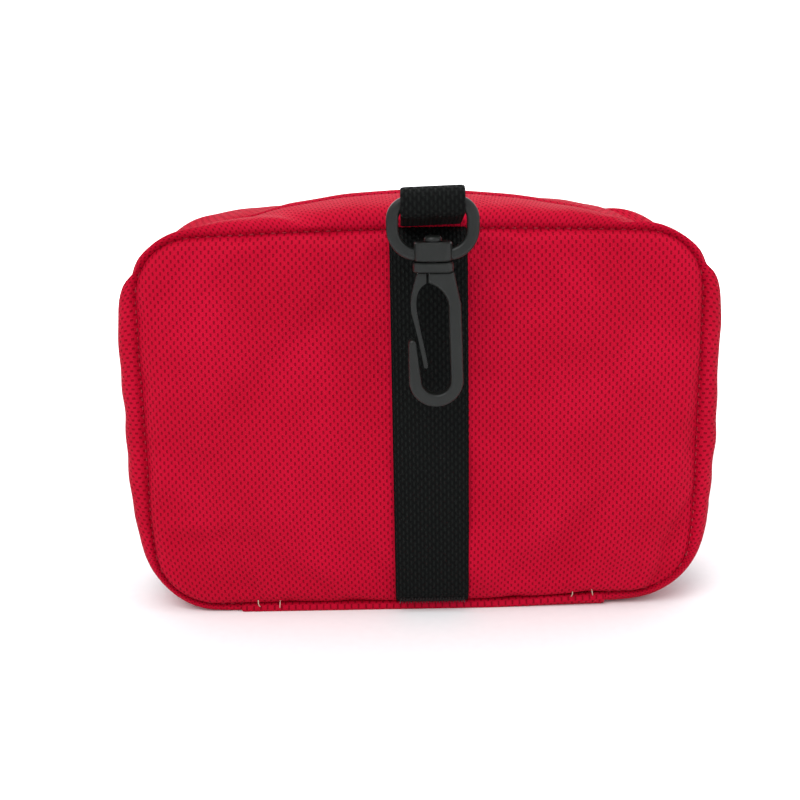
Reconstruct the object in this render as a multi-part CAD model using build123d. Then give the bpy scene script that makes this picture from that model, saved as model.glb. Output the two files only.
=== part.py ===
"""Soft zip-round first aid pouch with a belt strap, a swivel snap hook and its contents.

Row frame: +Z up, the pouch stands on its bottom gusset (z = 0), the zip runs in the plane y = 0,
the back panel with the belt strap faces -Y and the opening front cover faces +Y. Millimetres.
"""

from build123d import *
import math
import os

# ---- pouch outlines ---------------------------------------------------------------------------
# width, height at the middle, drop of the arched top edge at its ends, top and bottom corner radius
SEAM = (184.0, 130.0, 2.5, 20.0, 20.0)  # outline of both panels at their seams
FULL = (200.0, 139.0, 23.0, 25.0, 30.0)  # fullest outline, where the zip runs
PANEL_H, ZIP_W = SEAM[1], FULL[0]
BACK_Y, FRONT_Y = -28.0, 22.0  # planes of the back and front panel seams

# ---- cloth thicknesses ------------------------------------------------------------------------
SHELL = 0.9  # outer panel cloth with its coating
FOAM = 2.4
LINING = 0.6
GUSSET = 1.2
BINDING_IN = GUSSET + 0.7  # from the outline to the seam binding
GAP = 0.3  # free gap between bodies that move apart
BACK_OUT = BACK_Y - FOAM - SHELL  # outer face of the back panel
FRONT_OUT = FRONT_Y + FOAM + SHELL
BACK_IN = BACK_Y + LINING  # inner face of the back lining
FRONT_IN = FRONT_Y - LINING

# ---- zip --------------------------------------------------------------------------------------
BASE_HALF = 60.0  # half length of the full-depth bottom gusset
GUSSET_EDGE = 6.5  # the gusset cloth stops this far from the zip's middle
TAPE_IN, TAPE_OUT, TAPE_T = 1.8, 13.0, 0.6
TAPE_INSET = GUSSET + 0.3  # from the outline to the tape's outer face
COIL_IN, COIL_OUT, COIL_T = 0.45, 3.2, 1.8
TAPE_END, COIL_END = 70.3, 74.0  # half distance between the zip's two ends, under the pouch
SLIDER_Z = 45.0  # height of the closed slider on the right-hand side
PULL_LENGTH = 22.0
PULL_PIN_X = ZIP_W / 2 + 3.1
PIN_R, EYE_R = 0.55, 1.25
EAR_IN, EAR_T = 1.8, 1.1  # half gap between the ears, ear thickness

# ---- belt strap -------------------------------------------------------------------------------
STRAP_X, STRAP_W, STRAP_T = 3.0, 25.0, 1.3
STRAP_GAP = 4.55  # room for a belt
STRAP_MID = BACK_OUT - STRAP_GAP - STRAP_T / 2
STRAP_END = BACK_OUT - STRAP_T / 2 - 0.01

# ---- hook loop, swivel ring and snap hook, drawn round x = 0 and then moved to HOOK_X ---------
LOOP_W, LOOP_T = 19.6, 1.2
HOOK_X, HOOK_Y = 4.0, -46.7  # swivel axis; also the plane in which the ring and the hook hang
BAR_Z = 139.7  # centre of the ring's top bar, round which the loop is folded
LOOP_ROOT = (-28.5, 131.9)  # y, z where the loop leaves the seam
LOOP_IN_R = 3.6
RING_W, RING_H, RING_T = 28.3, 19.6, 3.8
RING_TOP_R, RING_LOW_R = 7.2, 9.7
RING_Z = BAR_Z + RING_T / 2 - RING_H / 2
COLLAR_H, COLLAR_W, COLLAR_D = 5.8, 11.6, 7.6
STUD_R, STUD_CLEAR = 2.0, 0.05
HOOK_TOP = RING_Z - RING_H / 2 - 0.4
HOOK_T, GATE_T = 5.2, 3.6

# ---- contents of the tray ---------------------------------------------------------------------
POCKET_T = 0.5
POCKET_IN = 3.2  # from the outline to the net
TRAY_POCKET_X, TRAY_POCKET_Y, TRAY_POCKET_TOP = 92.0, -0.6, 58.0
ROLL_R = 12.7
ROLL_Y = BACK_IN + 0.3 + ROLL_R
ROLL_Z = 4.2 + ROLL_R
TAPE_ROLL_R, TAPE_CORE_R, TAPE_CORE_T, TAPE_ROLL_W = 20.0, 12.5, 1.1, 12.5
TAPE_ROLL_AT = (62.0, 26.0)

# ---- contents of the cover --------------------------------------------------------------------
COVER_POCKET_Y, COVER_POCKET_TOP, COVER_POCKET_X = 4.0, 92.0, 19.0
SCISSORS_AT = (-38.0, 56.0)  # x, z of the rivet
BLADE_T, BLADE_GAP = 1.8, 0.2
BLADE_A_Y = 14.2  # inner face of the fixed blade
GRIP_R, GRIP_HOLE_R = 10.5, 7.5
GRIP_AT = (11.0, 38.0)  # from the rivet
RIVET_R = 1.6
TWEEZERS_X, TWEEZERS_TOP, TWEEZERS_TIP = -79.0, 104.0, 20.0
TWEEZERS_Y = (15.0, 19.0)


def at_depth(y):
    """A sketch plane facing -Y at depth y: its local x and y are the row's X and Z."""
    return Plane(origin=(0, y, 0), x_dir=(1, 0, 0), z_dir=(0, -1, 0))


def block(x, y, z):
    """A box given by its (low, high) limits along each axis."""
    size = [high - low for low, high in (x, y, z)]
    middle = [(low + high) / 2 for low, high in (x, y, z)]
    return Pos(*middle) * Box(*size)


def arched(width, height, drop, top_r, low_r, inset=0.0):
    """A rounded rectangle with an arched top edge, standing on y = 0, drawn in by inset all round."""
    half = width / 2
    top_radius = (half**2 + drop**2) / (2 * drop) - inset
    shoulder = height - inset - top_radius + math.sqrt(top_radius**2 - (half - inset) ** 2)
    half -= inset
    sides = Polyline((-half, shoulder), (-half, inset), (half, inset), (half, shoulder))
    top = ThreePointArc((half, shoulder), (0, height - inset), (-half, shoulder))
    shape = make_face([*sides.edges(), top])
    shape = fillet(shape.vertices().group_by(Axis.Y)[-1], top_r - inset)
    return fillet(shape.vertices().group_by(Axis.Y)[0], low_r - inset)


def outline(y, inset=0.0):
    """The pouch's outline at depth y, drawn in by inset on every side."""
    fullness = 1 - y / (BACK_Y if y < 0 else FRONT_Y)
    size = [seam + (full - seam) * fullness for seam, full in zip(SEAM, FULL)]
    return at_depth(y) * arched(*size, inset)


def filled(y_from, y_to, inset=0.0):
    return loft([outline(y_from, inset), outline(y_to, inset)], ruled=True)


def band(y_from, y_to, outer, inner):
    """A ring of cloth that follows the pouch's side walls between two depths."""
    return filled(y_from, y_to, outer) - filled(y_from, y_to, inner)


def slab(y_from, y_to, inset=0.0):
    """A flat layer with the panels' outline."""
    y_low, y_high = sorted((y_from, y_to))
    return extrude(at_depth(y_high) * arched(*SEAM, inset), y_high - y_low, dir=(0, -1, 0))


def underside(half_length, height=6.0):
    """The space under the middle of the pouch, used to open the bands there."""
    return block((-half_length, half_length), (BACK_Y - 1, FRONT_Y + 1), (-2, height))


def both_sides(shape):
    return shape + mirror(shape, about=Plane.YZ)


# ---- panels, gussets, bindings ----------------------------------------------------------------
def panel_shell(seam_y, outer_y):
    """Outer panel cloth: a dish whose rolled edge meets the gusset at the seam."""
    body = slab(seam_y, outer_y)
    rim = body.faces().sort_by(Axis.Y)[0 if outer_y < seam_y else -1]
    body = fillet(rim.edges(), 2.0)
    side = math.copysign(SHELL, outer_y - seam_y)
    return body - slab(seam_y, outer_y - side, SHELL)


def panel_foam(seam_y, outer_y):
    side = math.copysign(SHELL, outer_y - seam_y)
    return slab(seam_y, outer_y - side, SHELL + 1.2)


def bottom_gusset():
    """Full-depth strip the pouch stands on; its front edge is the cover's fold."""
    return block((-BASE_HALF, BASE_HALF), (BACK_Y, FRONT_Y - GAP), (0, GUSSET))


def zip_end_tabs():
    """Two small cloth tabs that close the band between the zip's ends and the bottom gusset."""
    depth = GUSSET_EDGE - 0.4
    zone = block((BASE_HALF, TAPE_END - 0.8), (-depth, depth), (-1, 8))
    ring = band(-depth, 0, 0, GUSSET) + band(depth, 0, 0, GUSSET)
    return both_sides(ring & zone)


# ---- zip --------------------------------------------------------------------------------------
def zip_slider():
    """Slider with an outer and an inner plate, a thin neck between the coils and two ears with a pin."""
    side = ZIP_W / 2
    out_low, out_high = side + 0.7, side + 1.5
    in_low, in_high = side - 5.0, side - 4.0
    z_range = (SLIDER_Z - 5.0, SLIDER_Z + 5.0)
    outer = fillet(block((out_low, out_high), (-4.3, 4.3), z_range).edges().filter_by(Axis.X), 2.2)
    inner = fillet(block((in_low, in_high), (-3.3, 3.3), z_range).edges().filter_by(Axis.X), 1.6)
    neck = block((in_low, out_high), (-0.2, 0.2), (SLIDER_Z - 4.6, SLIDER_Z - 1.6))
    root = Pos((out_low + PULL_PIN_X) / 2, SLIDER_Z) * Rectangle(PULL_PIN_X - out_low, 2 * EYE_R)
    ear_shape = Pos(PULL_PIN_X, SLIDER_Z) * Circle(EYE_R) + root
    ear = extrude(at_depth(EAR_IN + EAR_T) * ear_shape, EAR_T, dir=(0, 1, 0))
    ear = Pos(0, -2 * (EAR_IN + EAR_T), 0) * ear
    ears = ear + mirror(ear, about=Plane.XZ)
    pin = Pos(PULL_PIN_X, 0, SLIDER_Z) * Rot(90, 0, 0) * Cylinder(PIN_R, 2 * EAR_IN + EAR_T)
    return outer + inner + neck + ears + pin


def zip_pull():
    """Tapered tab that hangs from the slider's pin by an eye."""
    half = EAR_IN - 0.2
    thick = 1.1
    stem = Pos(0, -3.0) * Rectangle(thick, 4.4)
    knuckle = extrude(at_depth(half) * Pos(PULL_PIN_X, SLIDER_Z) * (Circle(EYE_R) + stem), 2 * half)
    knuckle -= Pos(PULL_PIN_X, 0, SLIDER_Z) * Rot(90, 0, 0) * Cylinder(PIN_R + 0.08, 6.0)
    tab_plane = Plane(origin=(PULL_PIN_X - thick / 2, 0, 0), x_dir=(0, 1, 0), z_dir=(1, 0, 0))
    top, bottom = SLIDER_Z - 4.8, SLIDER_Z - PULL_LENGTH
    right = [(1.6, top), (3.0, bottom + 4), (2.2, bottom)]
    left = [(-y, z) for y, z in reversed(right)]
    tab = Polygon(*right, *left, align=None)
    tab = fillet(tab.vertices(), 0.7)
    slot = Pos(0, bottom + 4.4) * SlotOverall(5.0, 2.2, rotation=90)
    return knuckle + extrude(tab_plane * (tab - slot), thick, dir=(1, 0, 0))


# ---- belt strap, hook loop, swivel ring, snap hook --------------------------------------------
def belt_strap():
    """Webbing sewn to the panel at both ends, standing off in between so that a belt can pass."""
    top, rise, run = PANEL_H - 2.5, 6.0, 12.0
    points = [
        (0, STRAP_END, top),
        (0, STRAP_END, top - rise),
        (0, STRAP_MID, top - rise - run),
        (0, STRAP_MID, PANEL_H - top + rise + run),
        (0, STRAP_END, PANEL_H - top + rise),
        (0, STRAP_END, PANEL_H - top),
    ]
    path = FilletPolyline(*points, radius=8.0)
    start = Plane(origin=points[0], x_dir=(1, 0, 0), z_dir=(0, 0, -1))
    return sweep(start * Rectangle(STRAP_W, STRAP_T), path=path)


def round_at(point, radius):
    return (Pos(*point) * Circle(radius)).edges()


def hook_loop():
    """Webbing folded round the ring's top bar, its two legs stitched together at the seam."""
    bar = (HOOK_Y, BAR_Z)
    reach = math.dist(bar, LOOP_ROOT)
    stitched = [LOOP_ROOT[i] + (bar[i] - LOOP_ROOT[i]) * 6.0 / reach for i in range(2)]
    outer = make_hull(round_at(bar, LOOP_IN_R + LOOP_T) + round_at(LOOP_ROOT, LOOP_T))
    inner = make_hull(round_at(bar, LOOP_IN_R) + round_at(stitched, 0.15))
    plane = Plane(origin=(-LOOP_W / 2, 0, 0), x_dir=(0, 1, 0), z_dir=(1, 0, 0))
    return extrude(plane * (outer - inner), LOOP_W)


def swivel_ring():
    """Ring for the webbing with a bored collar under it for the hook's stud."""
    ring = Rectangle(RING_W, RING_H)
    hole = Rectangle(RING_W - 2 * RING_T, RING_H - 2 * RING_T)
    ring = fillet(ring.vertices().group_by(Axis.Y)[-1], RING_TOP_R)
    ring = fillet(ring.vertices().group_by(Axis.Y)[0], RING_LOW_R)
    hole = fillet(hole.vertices().group_by(Axis.Y)[-1], RING_TOP_R - RING_T)
    hole = fillet(hole.vertices().group_by(Axis.Y)[0], RING_LOW_R - RING_T)
    body = extrude(at_depth(HOOK_Y + RING_T / 2) * Pos(0, RING_Z) * (ring - hole), RING_T)
    body = fillet(body.faces().filter_by(Axis.Y).edges(), 1.2)
    floor = RING_Z - RING_H / 2
    collar = extrude(Pos(0, HOOK_Y, floor) * RectangleRounded(COLLAR_W, COLLAR_D, 2.6), COLLAR_H)
    collar = chamfer(collar.faces().filter_by(Axis.Z).edges(), 0.4)
    bore = Pos(0, HOOK_Y, floor + COLLAR_H / 2) * Cylinder(STUD_R + STUD_CLEAR, COLLAR_H * 3)
    return body + collar - bore


def hook_plane(thickness):
    return Plane(origin=(0, HOOK_Y + thickness / 2, HOOK_TOP), x_dir=(1, 0, 0), z_dir=(0, -1, 0))


BEND_AT, BEND_OUT, BEND_IN = (0.55, -36.6), 8.45, 4.55  # the hook's round bottom
ARM_TOP = -23.8


def snap_hook():
    """J-shaped hook moulded in one with its collar, swivel stud and stud head."""
    bend = Pos(*BEND_AT) * (Circle(BEND_OUT) - Circle(BEND_IN))
    bend &= Pos(BEND_AT[0], BEND_AT[1] - 10) * Rectangle(30, 20)
    left, right = BEND_AT[0] - BEND_OUT, BEND_AT[0] + BEND_OUT
    spine_in = BEND_AT[0] + BEND_IN
    outside = [(spine_in, BEND_AT[1]), (right, BEND_AT[1]), (8.4, -13.0), (6.3, -2.9)]
    outside += [(-1.6, -2.9), (-1.6, -6.3)]
    throat = ThreePointArc((-1.6, -6.3), (3.0, -9.4), (4.6, -15.5))
    inside = Line((4.6, -15.5), (spine_in, BEND_AT[1]))
    spine = make_face([*Polyline(*outside).edges(), throat, inside])
    arm_in = BEND_AT[0] - BEND_IN
    tip = 1.25
    arm_low, arm_high = BEND_AT[1], ARM_TOP - tip
    arm_points = [(left, arm_low), (arm_in, arm_low), (left + 2 * tip, arm_high), (left, arm_high)]
    arm = Polygon(*arm_points, align=None)
    arm += Pos(left + tip, ARM_TOP - tip) * Circle(tip)
    body = extrude(hook_plane(HOOK_T) * (bend + spine + arm), HOOK_T, dir=(0, -1, 0))
    body = fillet(body.faces().filter_by(Axis.Y).edges(), 0.9)
    collar = extrude(Pos(0, HOOK_Y, HOOK_TOP - 3.0) * RectangleRounded(12.4, 7.0, 2.2), 3.0)
    collar = chamfer(collar.faces().filter_by(Axis.Z).edges(), 0.4)
    head_z = RING_Z - RING_H / 2 + COLLAR_H + 0.25
    stud_low = HOOK_TOP - 1.0
    stud = Pos(0, HOOK_Y, (stud_low + head_z + 1) / 2) * Cylinder(STUD_R, head_z + 1 - stud_low)
    head = Pos(0, HOOK_Y, head_z + 0.8) * Cylinder(2.8, 1.6)
    head = fillet(head.faces().sort_by(Axis.Z)[-1].edges(), 1.3)
    return body + collar + stud + head


def hook_gate():
    """Springy tongue that closes the hook's mouth from inside."""
    outer = Spline((-4.9, -3.4), (-6.6, -9.6), (-7.0, -13.3), (-5.8, -19.5), (-4.4, -26.0), (-3.2, -32.2))
    inner = Spline((-2.0, -31.9), (-3.5, -24.0), (-4.7, -17.9), (-5.3, -12.9), (-4.6, -8.8), (-2.2, -6.4))
    tip = ThreePointArc((-3.2, -32.2), (-2.5, -32.8), (-2.0, -31.9))
    root = Polyline((-2.2, -6.4), (-2.2, -3.4), (-4.9, -3.4))
    leaf = make_face([outer, tip, inner] + list(root.edges()))
    return extrude(hook_plane(GATE_T) * leaf, GATE_T, dir=(0, -1, 0))


# ---- tray contents ----------------------------------------------------------------------------
def tray_pocket():
    """Net pocket across the lower half of the tray, open at the top."""
    side = TRAY_POCKET_X
    keep = block((-side, side), (BACK_IN, TRAY_POCKET_Y), (2.5, TRAY_POCKET_TOP))
    room = block((POCKET_T - side, side - POCKET_T), (BACK_IN, TRAY_POCKET_Y - POCKET_T), (2.5, 100))
    outer = filled(BACK_IN, TRAY_POCKET_Y, POCKET_IN)
    inner = filled(BACK_IN, TRAY_POCKET_Y - POCKET_T, POCKET_IN + POCKET_T)
    return (outer & keep) - (inner & room)


def bandage(x_from, x_to):
    roll = Pos((x_from + x_to) / 2, ROLL_Y, ROLL_Z) * Rot(0, 90, 0) * Cylinder(ROLL_R, x_to - x_from)
    return fillet(roll.edges().filter_by(GeomType.CIRCLE), 1.2)


def tape_ring(outer_r, inner_r, width):
    plane = at_depth(BACK_IN + 0.3 + TAPE_ROLL_W / 2 + width / 2)
    return extrude(plane * Pos(*TAPE_ROLL_AT) * (Circle(outer_r) - Circle(inner_r)), width)


def packet(x, y, z, radius):
    """A flat packet with rounded edges."""
    body = block(x, y, z)
    return fillet(body.edges(), radius)


def stack(count, x, y_from, thickness, z, gap=0.15):
    """Equal flat packets one behind the other, as separate solids."""
    step = thickness + gap
    return Compound([block(x, (y_from + i * step, y_from + i * step + thickness), z) for i in range(count)])


def tray_elastic():
    """Elastic band over the two packets above the pocket, stitched down at its ends and middle."""
    front, z = -13.4, (84.0, 104.0)
    band_x = 81.0
    body = block((-band_x, band_x), (front, front + 0.8), z)
    for x in (-band_x, -0.4, band_x - 0.8):
        body += block((x, x + 0.8), (BACK_IN, front + 0.4), z)
    return body


# ---- cover contents ---------------------------------------------------------------------------
def cover_pocket():
    """Net pocket on the right of the cover, open at the top."""
    keep = block((COVER_POCKET_X, 100), (COVER_POCKET_Y, FRONT_IN), (3.0, COVER_POCKET_TOP))
    room = block((COVER_POCKET_X + POCKET_T, 100), (COVER_POCKET_Y + POCKET_T, FRONT_IN), (3.0, 100))
    outer = filled(FRONT_IN, COVER_POCKET_Y, POCKET_IN)
    inner = filled(FRONT_IN, COVER_POCKET_Y + POCKET_T, POCKET_IN + POCKET_T)
    return (outer & keep) - (inner & room)


def scissors_plane(y):
    return Plane(origin=(SCISSORS_AT[0], y, SCISSORS_AT[1]), x_dir=(1, 0, 0), z_dir=(0, -1, 0))


def scissors_blade(y_low, hand, bore):
    """One blade with its shank. hand is 1 for a grip on the right, -1 for one on the left."""
    points = [(-1.1, 5.0), (-4.6, 2.0), (-4.2, -6.0), (-1.6, -37.0), (0.4, -38.0), (0.9, -8.0), (4.0, 2.0)]
    points += [(12.2, 26.5), (7.6, 28.0)]
    blade = Polygon(*[(hand * x, z) for x, z in points], align=None)
    return extrude(scissors_plane(y_low + BLADE_T) * (blade - Circle(bore)), BLADE_T, dir=(0, -1, 0))


def scissors_grip(hand):
    """Moulded finger ring on the end of a shank."""
    ring = Circle(GRIP_R) - Circle(GRIP_HOLE_R)
    low = BLADE_A_Y - BLADE_GAP - BLADE_T
    thick = 2 * BLADE_T + BLADE_GAP
    body = extrude(scissors_plane(low + thick) * Pos(hand * GRIP_AT[0], GRIP_AT[1]) * ring, thick)
    return fillet(body.faces().filter_by(Axis.Y).edges(), 1.1)


def scissors_rivet():
    low = BLADE_A_Y - BLADE_GAP - BLADE_T
    length = 2 * BLADE_T + BLADE_GAP
    middle = (SCISSORS_AT[0], low + length / 2, SCISSORS_AT[1])
    shaft = Pos(*middle) * Rot(90, 0, 0) * Cylinder(RIVET_R, length + 1.4)
    for side in (-1, 1):
        y = middle[1] + side * (length / 2 + (0.15 if side < 0 else 0.0) + 0.4)
        shaft += Pos(middle[0], y, middle[2]) * Rot(90, 0, 0) * Cylinder(3.0, 0.8)
    return shaft


def tweezers_arm(hand):
    """One arm. hand is -1 for the left arm, which also carries the welded head."""
    top, tip = TWEEZERS_TOP, TWEEZERS_TIP
    near, far, thick = 0.6, 4.2, 1.1
    points = [(near, top), (near + thick, top), (far + thick, tip + 26), (far + thick - 0.9, tip)]
    points += [(far - 0.5, tip), (far, tip + 26), (near, top - 8)]
    arm = Polygon(*[(TWEEZERS_X + hand * x, z) for x, z in points], align=None)
    if hand < 0:
        arm += Pos(TWEEZERS_X - 0.2, top - 2) * Rectangle(1.0, 4.0)
    return extrude(at_depth(TWEEZERS_Y[1]) * arm, TWEEZERS_Y[1] - TWEEZERS_Y[0], dir=(0, -1, 0))


def keeper(x_legs, y_front, z):
    """Elastic strap over a tool, stitched to the lining at its two legs."""
    body = block((x_legs[0], x_legs[1] + 0.8), (y_front, y_front + 0.8), z)
    for x in x_legs:
        body += block((x, x + 0.8), (y_front, FRONT_IN), z)
    return body


def scissors_keepers(grip_x, y_front):
    """Two elastics: one through the left finger ring, one over the shank below it."""
    ring = keeper((grip_x - GRIP_R - 1.1, grip_x - 6.1), y_front, (90.5, 97.5))
    shank = keeper((SCISSORS_AT[0] - 12.8, SCISSORS_AT[0] - 2.3), y_front, (71, 77))
    return Compound([ring, shank])


def nodes():
    grip_x = SCISSORS_AT[0] - GRIP_AT[0]
    blade_b_y = BLADE_A_Y - BLADE_GAP - BLADE_T
    keep_front = BACK_IN + 0.3
    return {
        # tray: the back half of the pouch
        "back_panel_shell": panel_shell(BACK_Y, BACK_OUT),
        "back_panel_foam": panel_foam(BACK_Y, BACK_OUT),
        "back_lining": slab(BACK_Y, BACK_IN, GUSSET + 0.1),
        "back_gusset": band(BACK_Y, -GUSSET_EDGE, 0, GUSSET) - underside(BASE_HALF),
        "bottom_gusset": bottom_gusset(),
        "back_seam_binding": band(BACK_IN, -17.0, BINDING_IN, BINDING_IN + 1.0),
        "zip_tape_back": band(-TAPE_OUT, -TAPE_IN, TAPE_INSET, TAPE_INSET + TAPE_T) - underside(TAPE_END),
        "zip_coil_back": band(-COIL_OUT, -COIL_IN, GUSSET - COIL_T, GUSSET) - underside(COIL_END),
        "zip_end_tabs": zip_end_tabs(),
        "belt_strap": Pos(STRAP_X, 0, 0) * belt_strap(),
        "tray_pocket_net": tray_pocket(),
        "tray_elastic_band": tray_elastic(),
        "bandage_wide": bandage(-62.0, -6.0),
        "bandage_narrow": bandage(-3.0, 37.0),
        "tape_core": tape_ring(TAPE_CORE_R, TAPE_CORE_R - TAPE_CORE_T, TAPE_ROLL_W),
        "tape_roll": tape_ring(TAPE_ROLL_R, TAPE_CORE_R, TAPE_ROLL_W - 0.6),
        "triangular_bandage": packet((-78, -4), (keep_front, keep_front + 12.2), (64, 118), 2.5),
        "gauze_packets": stack(4, (4, 78), keep_front, 2.6, (62, 120)),
        # cover: the front half of the pouch
        "front_panel_shell": panel_shell(FRONT_Y, FRONT_OUT),
        "front_panel_foam": panel_foam(FRONT_Y, FRONT_OUT),
        "front_lining": slab(FRONT_IN, FRONT_Y, GUSSET + 0.1),
        "front_gusset": band(FRONT_Y, GUSSET_EDGE, 0, GUSSET) - underside(BASE_HALF + 0.5),
        "front_seam_binding": band(FRONT_IN, 13.4, BINDING_IN, BINDING_IN + 1.0),
        "zip_tape_front": band(TAPE_OUT, TAPE_IN, TAPE_INSET, TAPE_INSET + TAPE_T) - underside(TAPE_END),
        "zip_coil_front": band(COIL_OUT, COIL_IN, GUSSET - COIL_T, GUSSET) - underside(COIL_END),
        "cover_pocket_net": cover_pocket(),
        "plaster_strips": stack(8, (23, 42), 5.4, 0.8, (5, 75)),
        "wipe_sachets": stack(5, (45, 85), 5.4, 1.3, (17, 67)),
        "gloves_packet": packet((22, 78), (13.6, 19.8), (8, 74), 1.5),
        "leaflet": block((22, 72), (20.1, 21.2), (7, 77)),
        "scissors_keepers": scissors_keepers(grip_x, blade_b_y - 1.2),
        "tweezers_keeper": keeper((TWEEZERS_X - 6.2, TWEEZERS_X + 5.6), TWEEZERS_Y[0] - 1.2, (56, 64)),
        "scissors_blade_fixed": scissors_blade(BLADE_A_Y, -1, RIVET_R),
        "scissors_grip_fixed": scissors_grip(-1) - scissors_blade(BLADE_A_Y, -1, RIVET_R),
        "scissors_rivet": scissors_rivet(),
        "tweezers_arm_fixed": tweezers_arm(-1),
        # moving pieces
        "zip_slider": zip_slider(),
        "zip_pull": zip_pull(),
        "hook_loop": Pos(HOOK_X, 0, 0) * hook_loop(),
        "swivel_ring": Pos(HOOK_X, 0, 0) * swivel_ring(),
        "snap_hook": Pos(HOOK_X, 0, 0) * snap_hook(),
        "hook_gate": Pos(HOOK_X, 0, 0) * hook_gate(),
        "scissors_blade_moving": scissors_blade(blade_b_y, 1, RIVET_R + 0.05),
        "scissors_grip_moving": scissors_grip(1) - scissors_blade(blade_b_y, 1, RIVET_R),
        "tweezers_arm_moving": tweezers_arm(1),
    }


def main():
    os.makedirs("parts", exist_ok=True)
    for name, shape in nodes().items():
        export_step(shape, f"parts/{name}.step")


if __name__ == "__main__":
    main()
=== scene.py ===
"""Looks of the soft first aid pouch: padded cloth, webbing, plastic, zip and contents.

Pieces are laid out in mm in the row frame and turned into metres where a mesh is made; the camera,
lights and floor are in metres. Cloth outlines follow the pouch's seam and its fullest line.
"""

import math

import bmesh
import bpy
import numpy as np
from mathutils import Matrix, Vector


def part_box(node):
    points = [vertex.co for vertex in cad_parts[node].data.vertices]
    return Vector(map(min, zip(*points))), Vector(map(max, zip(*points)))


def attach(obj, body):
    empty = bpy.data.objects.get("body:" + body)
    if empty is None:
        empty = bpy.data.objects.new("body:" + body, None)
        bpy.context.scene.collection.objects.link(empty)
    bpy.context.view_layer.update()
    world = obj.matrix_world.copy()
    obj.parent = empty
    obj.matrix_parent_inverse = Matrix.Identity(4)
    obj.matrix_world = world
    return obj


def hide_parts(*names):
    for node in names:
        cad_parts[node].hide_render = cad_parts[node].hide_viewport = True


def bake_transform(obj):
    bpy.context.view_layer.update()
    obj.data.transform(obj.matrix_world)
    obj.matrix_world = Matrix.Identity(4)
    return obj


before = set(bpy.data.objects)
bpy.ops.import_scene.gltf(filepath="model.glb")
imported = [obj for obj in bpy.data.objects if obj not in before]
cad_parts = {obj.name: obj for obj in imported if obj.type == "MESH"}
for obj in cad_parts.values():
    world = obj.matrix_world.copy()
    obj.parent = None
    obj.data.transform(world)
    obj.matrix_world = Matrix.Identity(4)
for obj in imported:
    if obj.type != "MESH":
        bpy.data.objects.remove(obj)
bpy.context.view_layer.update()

MM = 0.001

# width, height, drop of the arched top, top and bottom corner radius, as in the design
SEAM = (184.0, 130.0, 2.5, 20.0, 20.0)
FULL = (200.0, 139.0, 23.0, 25.0, 30.0)
BACK_Y, FRONT_Y = -28.0, 22.0
BASE_HALF = 60.0
TAPE_END, COIL_END = 70.3, 74.0
BAR = (-46.7, 139.7)  # y, z of the ring's top bar
LOOP_ROOT = (-28.5, 131.9)
LOOP_X, LOOP_W = 4.0, 19.6
STRAP_X, STRAP_W = 3.0, 25.0

CORNER_STEPS, WIDE_STEPS, TALL_STEPS = 12, 84, 60


# ---- node materials ---------------------------------------------------------------------------
class Nodes:
    """Builds a material's node tree with short calls."""

    def __init__(self, name, roughness=0.6, **sockets):
        self.material = bpy.data.materials.new(name)
        self.material.use_nodes = True
        self.tree = self.material.node_tree
        self.shader = self.tree.nodes["Principled BSDF"]
        self.shader.inputs["Roughness"].default_value = roughness
        for socket, value in sockets.items():
            self.shader.inputs[socket.replace("_", " ")].default_value = value

    def new(self, kind, **settings):
        node = self.tree.nodes.new(kind)
        for key, value in settings.items():
            setattr(node, key, value)
        return node

    def put(self, socket, value):
        if hasattr(value, "is_linked"):
            self.tree.links.new(value, socket)
        else:
            socket.default_value = value

    def math(self, operation, first, second=0.0, third=0.0):
        node = self.new("ShaderNodeMath", operation=operation)
        for socket, value in zip(node.inputs, (first, second, third)):
            self.put(socket, value)
        return node.outputs[0]

    def blend(self, first, first_share, second, second_share):
        """Weighted sum of two values."""
        first = self.math("MULTIPLY", first, first_share)
        return self.math("ADD", first, self.math("MULTIPLY", second, second_share))

    def ramp(self, value, low, high):
        """0 below low, 1 above high, smooth between."""
        node = self.new("ShaderNodeMapRange", interpolation_type="SMOOTHSTEP")
        self.put(node.inputs["Value"], value)
        node.inputs["From Min"].default_value = low
        node.inputs["From Max"].default_value = high
        return node.outputs["Result"]

    def mix(self, factor, first, second):
        node = self.new("ShaderNodeMix", data_type="RGBA")
        self.put(node.inputs[0], factor)
        self.put(node.inputs[6], first)
        self.put(node.inputs[7], second)
        return node.outputs[2]

    def noise(self, scale, detail=3.0, vector=None):
        node = self.new("ShaderNodeTexNoise")
        node.inputs["Scale"].default_value = scale
        node.inputs["Detail"].default_value = detail
        self.put(node.inputs["Vector"], vector or self.object_space())
        return node.outputs["Fac"]

    def object_space(self):
        return self.new("ShaderNodeTexCoord").outputs["Object"]

    def cloth_space(self):
        """The piece's own lengthwise and crosswise position in millimetres, from its UV map."""
        split = self.new("ShaderNodeSeparateXYZ")
        self.tree.links.new(self.new("ShaderNodeTexCoord").outputs["UV"], split.inputs[0])
        return split.outputs[0], split.outputs[1]

    def object_axes(self):
        """Object position in millimetres, one output per axis."""
        split = self.new("ShaderNodeSeparateXYZ")
        self.tree.links.new(self.object_space(), split.inputs[0])
        return [self.math("MULTIPLY", axis, 1000.0) for axis in split.outputs]

    def colour(self, value):
        self.put(self.shader.inputs["Base Color"], value)

    def bump(self, height, distance, strength=1.0):
        node = self.new("ShaderNodeBump")
        node.inputs["Distance"].default_value = distance
        node.inputs["Strength"].default_value = strength
        self.put(node.inputs["Height"], height)
        self.put(self.shader.inputs["Normal"], node.outputs["Normal"])

    def roughness(self, value, low, high):
        node = self.new("ShaderNodeMapRange")
        self.put(node.inputs["Value"], value)
        node.inputs["To Min"].default_value = low
        node.inputs["To Max"].default_value = high
        self.put(self.shader.inputs["Roughness"], node.outputs["Result"])


def rgb(red, green, blue):
    return (red, green, blue, 1.0)


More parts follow.
